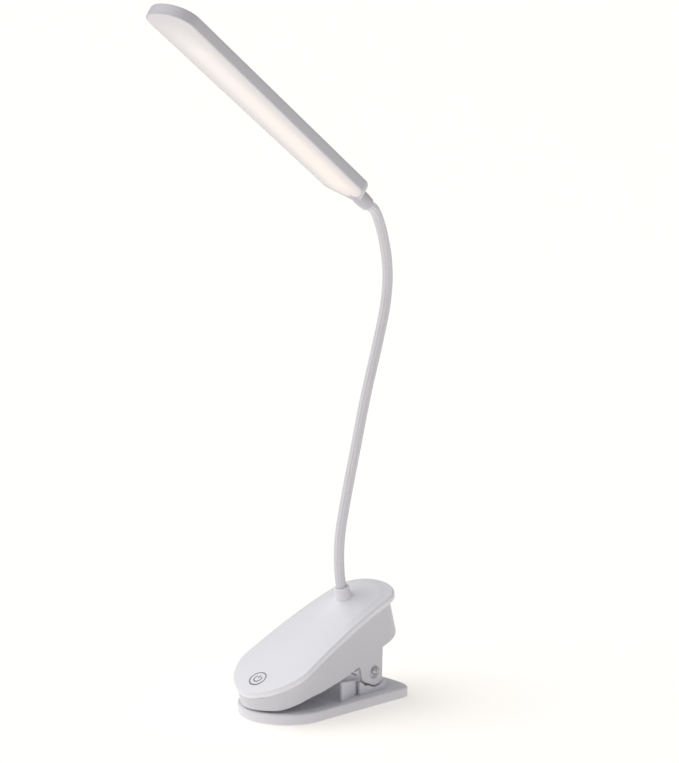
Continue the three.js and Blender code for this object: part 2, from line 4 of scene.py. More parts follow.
import bpy
import numpy as np
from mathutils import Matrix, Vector


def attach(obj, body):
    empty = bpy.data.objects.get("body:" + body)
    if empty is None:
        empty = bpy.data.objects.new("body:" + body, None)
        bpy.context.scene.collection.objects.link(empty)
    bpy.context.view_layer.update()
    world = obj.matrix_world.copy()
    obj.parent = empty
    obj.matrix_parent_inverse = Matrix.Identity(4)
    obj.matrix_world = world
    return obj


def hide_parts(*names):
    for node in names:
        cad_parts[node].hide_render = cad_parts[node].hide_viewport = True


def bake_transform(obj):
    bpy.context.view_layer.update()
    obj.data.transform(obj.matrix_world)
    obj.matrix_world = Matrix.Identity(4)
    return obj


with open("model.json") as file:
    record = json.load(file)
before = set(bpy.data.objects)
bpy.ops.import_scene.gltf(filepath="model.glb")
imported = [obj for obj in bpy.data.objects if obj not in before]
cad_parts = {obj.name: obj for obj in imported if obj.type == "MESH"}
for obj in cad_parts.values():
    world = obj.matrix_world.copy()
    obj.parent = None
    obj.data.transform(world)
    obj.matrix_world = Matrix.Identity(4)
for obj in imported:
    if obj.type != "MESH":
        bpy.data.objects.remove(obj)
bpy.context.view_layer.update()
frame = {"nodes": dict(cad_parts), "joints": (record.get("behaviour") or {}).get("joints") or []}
nodes = frame["nodes"]
joints = {joint["name"]: joint for joint in frame["joints"]}
mm = 0.001


cameraSet = {
    "target": (0, 19.6, 197.9),
    "azimuth": 46,
    "elevation": 11,
    "distance": 1926,
    "lens": 150.6,
    "sensor": 36,
    "clipEnd": 50,
}


def makeCamera(s):
    data = bpy.data.cameras.new("camera")
    data.lens = s["lens"]
    data.sensor_width = s["sensor"]
    data.clip_end = s["clipEnd"]
    camera = bpy.data.objects.new("camera", data)
    bpy.context.scene.collection.objects.link(camera)
    a, e = math.radians(s["azimuth"]), math.radians(s["elevation"])
    back = Vector((math.sin(a) * math.cos(e), -math.cos(a) * math.cos(e), math.sin(e)))
    camera.location = (Vector(s["target"]) + back * s["distance"]) * mm
    camera.rotation_euler = (-back).to_track_quat("-Z", "Y").to_euler()
    bpy.context.scene.camera = camera


makeCamera(cameraSet)
print("camera placed")


def linear(hexColour):
    values = [int(hexColour[i : i + 2], 16) / 255 for i in (1, 3, 5)]
    return [v / 12.92 if v <= 0.04045 else ((v + 0.055) / 1.055) ** 2.4 for v in values] + [1.0]


# adds a node, sets its properties and plain inputs, and links the sockets given as (node, output)
def addNode(tree, kind, properties=None, **inputs):
    node = tree.nodes.new(kind)
    for key, value in (properties or {}).items():
        setattr(node, key, value)
    for key, value in inputs.items():
        socket = node.inputs[key.replace("_", " ")]
        if isinstance(value, tuple) and isinstance(value[0], bpy.types.Node):
            tree.links.new(value[0].outputs[value[1]], socket)
        else:
            socket.default_value = value
    return node


def newMaterial(name):
    material = bpy.data.materials.new(name)
    material.use_nodes = True
    tree = material.node_tree
    shader = tree.nodes["Principled BSDF"]
    return material, tree, shader


plasticSet = {
    "cloud": 38.0,
    "deepest": 0.975,
    "palest": 1.02,
    "glossChange": 0.03,
    "bump": 0.05,
    "bumpDepth": 0.02,
}


# moulded plastic: a grain of about a third of a millimetre softens the edges of highlights, and a slow
# cloud a few centimetres across in colour and gloss keeps the broad faces from looking flat
def mouldedPlastic(name, colour, roughness, grain=0.35, ior=1.49, coat=0.0):
    s = plasticSet
    material, tree, shader = newMaterial(name)
    place = addNode(tree, "ShaderNodeTexCoord")
    cloud = addNode(tree, "ShaderNodeTexNoise", Vector=(place, "Object"), Scale=s["cloud"], Detail=3.0)
    tint = addNode(
        tree, "ShaderNodeMapRange", Value=(cloud, "Fac"), To_Min=s["deepest"], To_Max=s["palest"]
    )
    scaled = addNode(tree, "ShaderNodeVectorMath", {"operation": "SCALE"}, Scale=(tint, "Result"))
    scaled.inputs[0].default_value = linear(colour)[:3]
    tree.links.new(scaled.outputs[0], shader.inputs["Base Color"])
    low, high = roughness - s["glossChange"], roughness + s["glossChange"]
    gloss = addNode(tree, "ShaderNodeMapRange", Value=(cloud, "Fac"), To_Min=low, To_Max=high)
    tree.links.new(gloss.outputs[0], shader.inputs["Roughness"])
    fine = 1 / (grain * mm)
    speck = addNode(tree, "ShaderNodeTexNoise", Vector=(place, "Object"), Scale=fine, Detail=2.0)
    bump = addNode(
        tree, "ShaderNodeBump", Height=(speck, "Fac"), Strength=s["bump"], Distance=s["bumpDepth"] * mm
    )
    tree.links.new(bump.outputs[0], shader.inputs["Normal"])
    shader.inputs["IOR"].default_value = ior
    shader.inputs["Coat Weight"].default_value = coat
    return material


# metal: patches of wear about a millimetre across blur its reflection unevenly
def metal(name, colour, roughness, streak=1.2):
    material, tree, shader = newMaterial(name)
    place = addNode(tree, "ShaderNodeTexCoord")
    patch = 1 / (streak * mm)
    wear = addNode(tree, "ShaderNodeTexNoise", Vector=(place, "Object"), Scale=patch, Detail=4.0)
    low, high = roughness - 0.05, roughness + 0.08
    gloss = addNode(tree, "ShaderNodeMapRange", Value=(wear, "Fac"), To_Min=low, To_Max=high)
    tree.links.new(gloss.outputs[0], shader.inputs["Roughness"])
    shader.inputs["Base Color"].default_value = linear(colour)
    shader.inputs["Metallic"].default_value = 1.0
    return material


# silicone: finer grain than the plastic's, and a faint dusty sheen that lightens its edges
def silicone(name, colour, roughness):
    material = mouldedPlastic(name, colour, roughness, grain=0.2, ior=1.41)
    material.node_tree.nodes["Principled BSDF"].inputs["Sheen Weight"].default_value = 0.15
    return material


# opal polycarbonate, lit: the chips behind it show as one soft stripe along its middle, warmer and stronger
# towards the neck. Glow: smoothstep across the sheet times a level that runs along it
def opalSheet(name, s):
    material, tree, shader = newMaterial(name)
    shader.inputs["Base Color"].default_value = linear(s["colour"])
    shader.inputs["Roughness"].default_value = 0.4
    shader.inputs["IOR"].default_value = 1.58
    shader.inputs["Subsurface Weight"].default_value = 0.3
    shader.inputs["Subsurface Radius"].default_value = (0.003, 0.003, 0.003)
    across = addNode(tree, "ShaderNodeAttribute", {"attribute_name": "across"})
    along = addNode(tree, "ShaderNodeAttribute", {"attribute_name": "along"})
    smooth = {"interpolation_type": "SMOOTHSTEP"}
    stripe = addNode(
        tree, "ShaderNodeMapRange", smooth, Value=(across, "Fac"), From_Min=1.0, From_Max=0.1
    )
    length = addNode(tree, "ShaderNodeValToRGB", Fac=(along, "Fac"))
    ramp = length.color_ramp
    for place, level in s["glow"]:
        stop = ramp.elements.new(place)
        stop.color = (level, level, level, 1)
    ramp.elements.remove(ramp.elements[0])
    ramp.elements.remove(ramp.elements[-1])
    power = addNode(tree, "ShaderNodeMath", {"operation": "MULTIPLY"})
    tree.links.new(stripe.outputs[0], power.inputs[0])
    tree.links.new(length.outputs[0], power.inputs[1])
    warm = addNode(tree, "ShaderNodeMix", {"data_type": "RGBA"}, Factor=(along, "Fac"))
    warm.inputs[6].default_value = linear(s["warm"])
    warm.inputs[7].default_value = linear(s["cool"])
    tree.links.new(warm.outputs[2], shader.inputs["Emission Color"])
    tree.links.new(power.outputs[0], shader.inputs["Emission Strength"])
    return material


# circuit board: solder mask over tracks at a 2.4 mm pitch, paler where the gaps between them show
def circuitBoard(name, colour):
    material, tree, shader = newMaterial(name)
    place = addNode(tree, "ShaderNodeTexCoord")
    pitch = 1 / (2.4 * mm)
    tracks = addNode(
        tree, "ShaderNodeTexBrick", Vector=(place, "Object"), Scale=pitch, Mortar_Size=0.06
    )
    base = linear(colour)
    tracks.inputs["Color1"].default_value = base
    tracks.inputs["Color2"].default_value = [c * 0.92 for c in base[:3]] + [1]
    tracks.inputs["Mortar"].default_value = [min(1, c * 1.3) for c in base[:3]] + [1]
    tree.links.new(tracks.outputs["Color"], shader.inputs["Base Color"])
    shader.inputs["Roughness"].default_value = 0.4
    return material


# satin ABS mouldings, with soft wide highlights on rounded edges. All are one white plastic. The cover
# keeps its own white. The clip, foot and head are darker copies of it, painted shade for walls turned from
# the light, and the head's is the deepest
coverAbs = mouldedPlastic("coverAbs", "#efeff3", 0.36, coat=0.1)
clipAbsShaded = mouldedPlastic("clipAbsShaded", "#d8d8de", 0.4, coat=0.05)
footAbsShaded = mouldedPlastic("footAbsShaded", "#e4e4e9", 0.4, coat=0.05)
headAbsShaded = mouldedPlastic("headAbsShaded", "#c8c7cd", 0.4)
# silicone: the neck's flutes catch the light as fine lines, and the pads stay matt
neckSilicone = silicone("neckSilicone", "#e2e2e7", 0.5)
padSilicone = silicone("padSilicone", "#d2d2d7", 0.7)
# metals: a bright spot on the pin's dome, glints on the spring, a warm red where a core is bare
platedSteel = metal("zincPlatedSteel", "#d3d5d9", 0.16)
springSteel = metal("springSteel", "#c3c6cc", 0.24)
copperCore = metal("copperCore", "#c07a4a", 0.35)
# grey ink, a matt line on the satin cover, and the finishes of what lies inside
printedInk = mouldedPlastic("printedInk", "#7f7f88", 0.5)
cellWrap = mouldedPlastic("cellWrap", "#5b7fa8", 0.35)
greenBoard = circuitBoard("greenBoard", "#1f6b45")
whiteBoard = circuitBoard("whiteBoard", "#e8e8e4")
ledPhosphor = mouldedPlastic("ledPhosphor", "#ffdf9a", 0.4)
opal = opalSheet(
    "opalPolycarbonate",
    {
        "colour": "#dedcdf",
        "glow": [(0.0, 0.08), (0.07, 0.3), (0.25, 0.27), (0.5, 0.24), (0.8, 0.2), (0.97, 0.0)],
        "warm": "#ffd6ac",
        "cool": "#fff6e8",
    },
)
print("materials made")


def put(name, points, faces, material, sharp=40):
    mesh = bpy.data.meshes.new(name)
    mesh.from_pydata((np.asarray(points) * mm).tolist(), [], faces)
    mesh.materials.append(material)
    mesh.update()
    mesh.shade_smooth()
    mesh.set_sharp_from_angle(angle=math.radians(sharp))
    made = bpy.data.objects.new(name, mesh)
    bpy.context.scene.collection.objects.link(made)
    return made


# quads between neighbouring rings; each ring closes on itself, and the last ring can join the first
def ringQuads(rings, count, joined=False):
    last = rings if joined else rings - 1
    i, j = np.meshgrid(np.arange(last), np.arange(count), indexing="ij")
    up, on = (i + 1) % rings, (j + 1) % count
    quads = np.stack([i * count + j, i * count + on, up * count + on, up * count + j], -1)
    return quads.reshape(-1, 4).tolist()


# a skin through rings (ring, point, xyz), with its open ends closed by one face each where asked
def skin(name, rings, material, joined=False, ends=(False, False), sharp=40):
    rings = np.asarray(rings, float)
    amount, count = rings.shape[:2]
    faces = ringQuads(amount, count, joined)
    if ends[0]:
        faces.append(list(range(count))[::-1])
    if ends[1]:
        faces.append([(amount - 1) * count + k for k in range(count)])
    return put(name, rings.reshape(-1, 3), faces, material, sharp)


# a side outline of (y, z) carried across from x0 to x1
def sidePlate(name, outline, x0, x1, material, bevel=0.45):
    outline = np.asarray(outline, float)
    rings = np.stack([np.column_stack([np.full(len(outline), x), outline]) for x in (x0, x1)])
    made = skin(name, rings, material, ends=(True, True), sharp=35)
    edge = made.modifiers.new("edge", "BEVEL")
    edge.width = bevel * mm
    edge.segments = 3
    edge.limit_method = "ANGLE"
    edge.harden_normals = True
    return made


# evenly spaced points along a closed line of (x, y)
def spaced(line, count):
    closed = np.vstack([line, line[:1]])
    run = np.concatenate([[0], np.cumsum(np.linalg.norm(np.diff(closed, axis=0), axis=1))])
    at = np.linspace(0, run[-1], count, endpoint=False)
    return np.column_stack([np.interp(at, run, closed[:, k]) for k in (0, 1)])


# superellipse quarter: across = half * cos(t)^(2/power), along = depth * sin(t)^(2/power)
def endLine(end, sign, steps=160):
    t = np.linspace(0, math.pi / 2, steps)
    across = end["half"] * np.cos(t) ** (2 / end["power"])
    return np.column_stack([across, end["y"] + sign * end["depth"] * np.sin(t) ** (2 / end["power"])])


def twoEnded(front, rear, count):
    right = np.vstack([endLine(front, -1)[::-1], endLine(rear, 1)])
    left = right[1:-1][::-1] * [-1, 1]
    return spaced(np.vstack([right, left]), count)


def inset(line, by):
    along = np.roll(line, -1, 0) - np.roll(line, 1, 0)
    along /= np.linalg.norm(along, axis=1)[:, None]
    return line + np.column_stack([-along[:, 1], along[:, 0]]) * by


def rounded(radius, steps, start, turn):
    t = np.radians(np.linspace(start, start + turn, steps))
    return radius * np.cos(t), radius * np.sin(t)


plateSet = {
    "front": {"half": 30, "y": -27.8, "depth": 26.5, "power": 1.9},
    "rear": {"half": 30, "y": 43.5, "depth": 10.8, "power": 3.7},
    "bottom": 0.5,
    "top": 7.1,
    "edge": 1.1,
}


def makePlate(s):
    line = twoEnded(s["front"], s["rear"], 320)
    r = s["edge"]
    down, up = rounded(r, 7, -90, 90), rounded(r, 7, 0, 90)
    section = [(8, s["bottom"])]
    section += [(r - a, s["bottom"] + r + b) for a, b in zip(*down)]
    section += [(r - a, s["top"] - r + b) for a, b in zip(*up)]
    rings = [np.column_stack([inset(line, by), np.full(len(line), z)]) for by, z in section]
    for share in (0.75, 0.4, 0.02):
        rings.append(np.column_stack([inset(line, r) * share, np.full(len(line), s["top"])]))
    rings.insert(0, rings[0] * [0.02, 0.02, 1])
    return skin("foot_plate", rings, footAbsShaded, ends=(True, True))


pinSet = {"y": 28.4, "z": 19.5, "lobeClear": 9.4, "lobe": 8.6}
uprightSet = {"outer": 23.3, "wall": 2, "top": 6.6, "stepBack": 5.2, "stepFace": 3}


# y and z of points round the pin at the angles given in radians
def aroundPin(radius, turn):
    return pinSet["y"] + radius * np.cos(turn), pinSet["z"] + radius * np.sin(turn)


# one upright: an ear hollowed round the housing's lobe, a narrow step set back ahead of it, and a front
# panel that comes inward towards the rear
def makeUpright(s, side, name):
    turn = np.radians(np.linspace(-47, -127, 21))
    hollow = list(zip(*aroundPin(pinSet["lobeClear"], turn)))
    low = s["top"]
    ear = [(36.9, low), (36.9, 12.6)] + hollow + [(19.2, 12.3), (16.4, 14.9), (14.3, 16), (14.3, low)]
    inner, outer = side * (s["outer"] - s["wall"]), side * s["outer"]
    panels = [sidePlate(name + "_ear", ear, *sorted((inner, outer)), clipAbsShaded)]
    back, face = side * (s["outer"] - s["stepBack"]), side * (s["outer"] - s["stepFace"])
    step = [(16, low), (16, 15.4), (11.6, 16.6), (11.6, low)]
    panels.append(sidePlate(name + "_step", step, *sorted((back, face)), clipAbsShaded, 0.3))
    front = [(25.6, -3.0), (21.4, 12.4), (19.4, 12.4), (23.6, -3.0)]
    tops = [19.4, 16.9, 16.9, 19.4]
    base = np.array([(side * x, y, low) for x, y in front])
    head = np.array([(side * x, y, z) for (x, y), z in zip(front, tops)])
    if side < 0:
        base, head = base[::-1], head[::-1]
    panel = skin(name + "_panel", [base, head], clipAbsShaded, ends=(True, True), sharp=35)
    edge = panel.modifiers.new("edge", "BEVEL")
    edge.width = 0.4 * mm
    edge.segments = 3
    panels.append(panel)
    return panels


lugSet = {"at": 16.8, "half": 1.3, "eye": 5.4, "foot": 7.4}


# a lug that holds the pin: straight sides that narrow up to a round eye
def makeLug(s, side, name):
    eye = list(zip(*aroundPin(s["eye"], np.radians(np.linspace(0, 180, 25)))))
    low = uprightSet["top"]
    outline = [(pinSet["y"] + s["foot"], low)] + eye + [(pinSet["y"] - s["foot"], low)]
    middle = side * s["at"]
    return sidePlate(name, outline, middle - s["half"], middle + s["half"], clipAbsShaded, 0.35)


lowerPieces = [makePlate(plateSet)]
for side, word in ((1, "right"), (-1, "left")):
    lowerPieces += makeUpright(uprightSet, side, word + "_upright")
    lowerPieces.append(makeLug(lugSet, side, word + "_lug"))
for piece in lowerPieces:
    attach(piece, "lower_jaw")
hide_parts("lower_jaw")


# the pin's profile as (radius, distance from the middle): a dimple, the domed head and the shank
pinEnd = [(0.02, 22.1), (0.5, 22.15), (0.74, 22.5), (0.82, 23.05), (0.95, 23.28), (1.25, 23.35)]
pinEnd += [(1.7, 23.05), (2.05, 22.5), (2.1, 22), (1.95, 21.9), (1.5, 21.9)]


def makePin():
    turn = np.linspace(0, 2 * math.pi, 48, endpoint=False)
    section = [(r, -x) for r, x in pinEnd] + [(r, x) for r, x in pinEnd[::-1]]
    rings = [np.column_stack([np.full(48, x), *aroundPin(r, turn)]) for r, x in section]
    return skin("turned_pin", rings, platedSteel, ends=(True, True), sharp=35)


pinPiece = makePin()
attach(pinPiece, "lower_jaw")
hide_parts("hinge_pin")
print("lower jaw made")


coverSet = {
    "front": {"half": 28.1, "y": -34, "depth": 25.7, "power": 1.75},
    "rear": {"half": 23.2, "y": 36, "depth": 18.8, "power": 2.2},
    "heights": (48.6, 0.432, -0.00142, -0.0000047),
    "rim": 3.5,
    "edge": 0.8,
    "noseCrown": 1.0,
    "rearCrown": 2.9,
    "crownFrom": -40,
    "crownRun": 62,
    "mound": 3.2,
    "moundReach": 13.5,
    "moundAt": 24.4,
}


# the cover's edge height along the clip, steep at the front and easing to the rear: a cubic in y,
# height = a + b y + c y^2 + d y^3
def coverHeight(y):
    a, b, c, d = coverSet["heights"]
    return a + b * y + c * y**2 + d * y**3


# points on the rim dropped square to the cover's slope, the slope being b + 2 c y + 3 d y^2
def dropped(p, drop):
    a, b, c, d = coverSet["heights"]
    slope = np.arctan(b + 2 * c * p[:, 1] + 3 * d * p[:, 1] ** 2)
    y, z = p[:, 1] + drop * np.sin(slope), coverHeight(p[:, 1]) - drop * np.cos(slope)
    return np.column_stack([p[:, 0], y, z])


# crown: a parabola across the cover that grows fuller from the nose to the neck, and a bell-shaped mound
# round the neck, height * e^-(distance / reach)^2
def coverCrown(x, y):
    s = coverSet
    t = np.clip((y - s["crownFrom"]) / s["crownRun"], 0, 1)
    full = s["noseCrown"] + (s["rearCrown"] - s["noseCrown"]) * t * t * (3 - 2 * t)
    away = np.hypot(x, y - s["moundAt"]) / s["moundReach"]
    return full * (1 - (x / s["front"]["half"]) ** 2) + s["mound"] * np.exp(-(away**2))


def coverTop(x, y):
    return coverHeight(y) + coverCrown(x, y)


# the cover: underside, rim, rounded edge and crowned top, each ring drawn in from the outline
def makeCover(s):
    line = twoEnded(s["front"], s["rear"], 360)
    under = inset(line, 5)
    rings = [dropped(under * share, s["rim"] - 2) for share in (0.01, 0.4, 0.8, 1)]
    for by, drop in ((5, 0), (0.5, 0), (0.15, 0.15), (0, 0.5)):
        rings.append(dropped(inset(line, by), s["rim"] - drop))
    r = s["edge"]
    for a, b in zip(*rounded(r, 8, 0, 90)):
        p = inset(line, r - a)
        rings.append(dropped(p, r - b - 0.35 * coverCrown(p[:, 0], p[:, 1]) * (r - a) / r))
    lip = inset(line, r)
    for share in np.concatenate([np.linspace(0.985, 0.1, 40), [0.005]]):
        p = lip * share
        settle = 0.35 + 0.65 * np.clip((1 - share) / 0.16, 0, 1)
        rings.append(np.column_stack([p, coverHeight(p[:, 1]) + coverCrown(p[:, 0], p[:, 1]) * settle]))
    return skin("cover", rings, coverAbs, ends=(True, True), sharp=60)


bossSet = {
    "tilt": 17,
    "base": (0, 24.4, 59.0),
    "height": 11.6,
    "radius": 4.75,
    "flare": 4.6,
    "rise": 9.8,
    "bore": 3.35,
}


# the boss round the neck: a flare that grows out of the cover, then a straight collar with its bore
def makeBoss(s):
    tilt = math.radians(s["tilt"])
    axis = np.array([0, -math.sin(tilt), math.cos(tilt)])
    side, ahead = np.array([1.0, 0, 0]), np.array([0, math.cos(tilt), math.sin(tilt)])
    turn = np.linspace(0, 2 * math.pi, 72, endpoint=False)
    around = np.outer(np.cos(turn), side) + np.outer(np.sin(turn), ahead)
    base = np.array(s["base"])
    # flare: a superellipse quarter, level where it leaves the cover and upright at the collar
    t = np.radians(np.linspace(0, 90, 22))
    across, up = 1 - np.sin(t) ** 1.15, 1 - np.cos(t) ** 1.15
    section = list(zip(s["radius"] + s["flare"] * across, s["rise"] * up))
    section += [(s["radius"] - 0.6 + a, s["height"] - 0.6 + b) for a, b in zip(*rounded(0.6, 6, 0, 90))]
    section += [(s["bore"] + 0.2, s["height"]), (s["bore"], s["height"] - 0.25)]
    section += [(s["bore"], s["height"] - 3), (s["bore"], 0)]
    rings = []
    for radius, height in section:
        p = base + axis * height + around * radius
        keep = max(0, 1 - height / 6) ** 2
        ground = coverTop(p[:, 0], p[:, 1]) + 0.02
        p[:, 2] += (ground - p[:, 2]) * keep
        rings.append(p)
    rings.insert(0, rings[0] - [0, 0, 0.6])
    return skin("neck_boss", rings, coverAbs, joined=True, sharp=50)


markSet = {
    "y": -48.5,
    "slope": 28.5,
    "radius": 5.3,
    "line": 0.74,
    "symbol": 2.5,
    "symbolLine": 0.72,
    "lift": 0.06,
    "sunk": -0.1,
}


# a thin printed band on the cover between two lines given in the mark's own plane
def printedBand(name, inner, outer, s, closed):
    corners = []
    low, high = s["sunk"], s["lift"]
    for line, lift in ((inner, low), (outer, low), (outer, high), (inner, high)):
        x, y = line[:, 0], s["y"] + line[:, 1] * math.cos(math.radians(s["slope"]))
        corners.append(np.column_stack([x, y, coverTop(x, y) + lift]))
    ends = (not closed, not closed)
    return skin(name, np.stack(corners, 1), printedInk, joined=closed, ends=ends, sharp=30)


# the power mark: a ring round an arc, open at the top where a short stroke stands
def makeMark(s):
    turn = np.linspace(0, 2 * math.pi, 96, endpoint=False)[::-1]
    circle = np.column_stack([np.cos(turn), np.sin(turn)])
    half = s["line"] / 2
    inner, outer = circle * (s["radius"] - half), circle * (s["radius"] + half)
    made = [printedBand("power_ring", inner, outer, s, True)]
    turn = np.radians(np.linspace(130, 410, 60))[::-1]
    arc = np.column_stack([np.cos(turn), np.sin(turn)])
    half = s["symbolLine"] / 2
    inner, outer = arc * (s["symbol"] - half), arc * (s["symbol"] + half)
    made.append(printedBand("power_arc", inner, outer, s, False))
    y = np.linspace(s["symbol"] * 1.25, s["symbol"] * 0.1, 8)
    left, right = np.column_stack([y * 0 - half, y]), np.column_stack([y * 0 + half, y])
    made.append(printedBand("power_stroke", left, right, s, False))
    return made


coverPiece = makeCover(coverSet)
bossPiece = makeBoss(bossSet)
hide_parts("top_cover")
for piece in [coverPiece, bossPiece] + makeMark(markSet):
    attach(piece, "clip")
print("cover made")


housingSet = {
    "inset": 1.2,
    "wall": 2,
    "lean": 0.38,
    "leanFrom": 36,
    "noseFrom": -20,
    "noseStep": 0.9,
    "noseDraft": 0.22,
    "pocket": 4.1,
    "pocketDepth": 1.5,
    "levels": 60,
}


# the wall's lower edge as (y, z): the gripping nose, the jaw's slope, the lobe round the pin and the rear
def lowerEdge():
    lobe = list(zip(*aroundPin(pinSet["lobe"], np.radians(np.linspace(-105, -45, 25)))))
    line = [(-64, 8.7), (-52, 8.7), (-49, 8.85), (-46, 9.4), (-42, 10.8), (-38, 12.2)]
    line += [(-32, 13.9), (-26, 15.4), (-3, 20.2), (12.4, 24.6), (14.2, 24.8)]
    line += [(14.8, 23.6), (16.2, 17.2), (17.6, 15.4), (19.8, 14.1)] + lobe
    line += [(34.6, 14.4), (34.9, 32.4), (35.6, 33.4), (44.5, 37)]
    line += [(49, 39.2), (52, 42), (53.4, 46), (53.6, 50)]
    return np.array(line, float)


def housingPlan(by, count):
    return inset(twoEnded(coverSet["front"], coverSet["rear"], count), by)


# how far the nose's wall has drawn in: a step under the cover's rim, then a steady draft with depth
def noseDraft(y, depth):
    s = housingSet
    return np.clip((s["noseFrom"] - y) / 25, 0, 1) * (s["noseStep"] + depth * s["noseDraft"])


def makeHousing(s):
    edge = lowerEdge()
    count = 900
    plain = housingPlan(s["inset"], count)
    low = np.interp(plain[:, 1], edge[:, 0], edge[:, 1])
    under = dropped(plain, coverSet["rim"] - 0.1)
    high = np.interp(plain[:, 1], under[:, 1][np.argsort(under[:, 1])], np.sort(under[:, 2]))
    low = np.minimum(low, high - 1)
    rings = []
    rear = np.clip((plain[:, 1] - s["leanFrom"]) / 18, 0, 1)

    # draft: the nose draws in on its way down, and the rear wall leans out
    def ring(by, height):
        p = inset(plain, (by + noseDraft(plain[:, 1], high - height))[:, None])
        out = rear * ((56 - height) * s["lean"] - 1.4)
        rings.append(np.column_stack([p[:, 0], p[:, 1] + out, height]))

    for share in np.linspace(0, 1, s["levels"]):
        ring(0, low + 0.45 + (high - low - 0.45) * share)
    ring(s["wall"], high)
    for share in np.linspace(1, 0, 12):
        ring(s["wall"], low + 0.45 + (high - low - 0.45) * share)
    ring(s["wall"] - 0.15, low + 0.12)
    ring(s["wall"] - 0.45, low)
    ring(0.45, low)
    ring(0.15, low + 0.12)
    rings = np.array(rings)
    # a round pocket in each side where the pin's head sits
    outer = rings[: s["levels"]]
    gap = np.hypot(outer[:, :, 1] - (pinSet["y"] - 1), outer[:, :, 2] - pinSet["z"])
    dent = s["pocketDepth"] * np.clip((s["pocket"] - gap) / 0.5, 0, 1)
    outer[:, :, 0] -= np.sign(outer[:, :, 0]) * dent
    return skin("housing_wall", rings, clipAbsShaded, joined=True, sharp=50)


# the floor inside the wall: the jaw's underside, the bulkhead ahead of the spring and the shelf above it
def makeFloor(name, line, lift, wallGap):
    columns = 25
    plan = housingPlan(housingSet["inset"] + wallGap, 400)
    depth = coverHeight(plan[:, 1]) - coverSet["rim"] - np.interp(plan[:, 1], line[:, 0], line[:, 1])
    plan = inset(plan, noseDraft(plan[:, 1], depth)[:, None])
    right = plan[plan[:, 0] > 0]
    order = np.argsort(right[:, 1])
    half = np.interp(line[:, 0], right[order, 1], right[order, 0])
    x = half[:, None] * np.linspace(-1, 1, columns)
    y = np.repeat(line[:, :1], columns, 1)
    z = np.repeat(line[:, 1:], columns, 1) + lift
    lowPoints = np.stack([x, y, z], -1)
    rows = len(line)
    i, j = np.meshgrid(np.arange(rows - 1), np.arange(columns - 1), indexing="ij")
    low, high = i * columns + j, (i + 1) * columns + j
    quads = np.stack([high, high + 1, low + 1, low], -1).reshape(-1, 4)
    made = put(name, lowPoints.reshape(-1, 3), quads.tolist(), clipAbsShaded)
    thick = made.modifiers.new("thickness", "SOLIDIFY")
    thick.thickness = 1.8 * mm
    thick.offset = -1
    return made


edgeLine = lowerEdge()
frontY = np.linspace(-54.6, 12, 60)
jawLine = np.column_stack([frontY, np.interp(frontY, edgeLine[:, 0], edgeLine[:, 1])])
shelf = [(12.6, 24.8), (12.9, 27), (13.4, 30.4), (14.4, 31.2), (20, 31.4), (30, 32.2)]
shelf += [(36, 33.8), (44.5, 37.2), (49, 39.4), (52, 42)]
floorLine = np.vstack([jawLine, shelf])
housing = makeHousing(housingSet)
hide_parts("clip_housing")
housingPieces = [housing, makeFloor("inner_floor", floorLine, 0.25, 0.9)]
for piece in housingPieces:
    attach(piece, "clip")
print("housing made")


neckSet = {
    "radius": 3.25,
    "flutes": 10,
    "depth": 0.34,
    "around": 120,
    "steps": 1201,
    "first": 8,
    "last": 1140,
    "reach": 75,
}
headSet = {
    "origin": (0, 15.6, 329.2),
    "tilt": 37.9,
    "thick": 6.8,
    "border": 1.0,
    "tip": {"half": 19, "y": 155, "depth": 13.2, "power": 2.15},
    "root": {"half": 16.6, "y": -13, "taper": 17, "neckHalf": 3.2},
    "sheetRoot": {"y": -10, "depth": 14, "power": 1.75},
    "socketEnd": -38,
}

headTilt = math.radians(headSet["tilt"])
headAcross = np.array([1.0, 0, 0])
headAlong = np.array([0, -math.cos(headTilt), math.sin(headTilt)])
headDown = np.cross(headAcross, headAlong)
headOrigin = np.array(headSet["origin"])


def inHead(points):
    return headOrigin + np.asarray(points, float) @ np.stack([headAcross, headAlong, headDown])


# a point on the boss's axis, at a height above its base
def onBoss(t):
    tilt = math.radians(bossSet["tilt"])
    return np.array(bossSet["base"]) + np.array([0, -math.sin(tilt), math.cos(tilt)]) * t


# the neck's path from inside the boss, forward over its S-bend and into the head's socket
def neckPoints():
    end, middle = headSet["socketEnd"], headSet["thick"] / 2
    line = [onBoss(-8), onBoss(0), onBoss(bossSet["height"])]
    line += [(0, 19.3, 82), (0, 19.7, 100), (0, 24.3, 122), (0, 32.1, 151), (0, 42, 187)]
    line += [(0, 51.4, 216), (0, 58.2, 240), (0, 60.2, 259), (0, 57, 280)]
    line += [inHead((0, end - 7, middle - 0.2)), inHead((0, end, middle))]
    line += [inHead((0, end + 7, middle)), inHead((0, end + 14, middle))]
    return np.array(line, float)


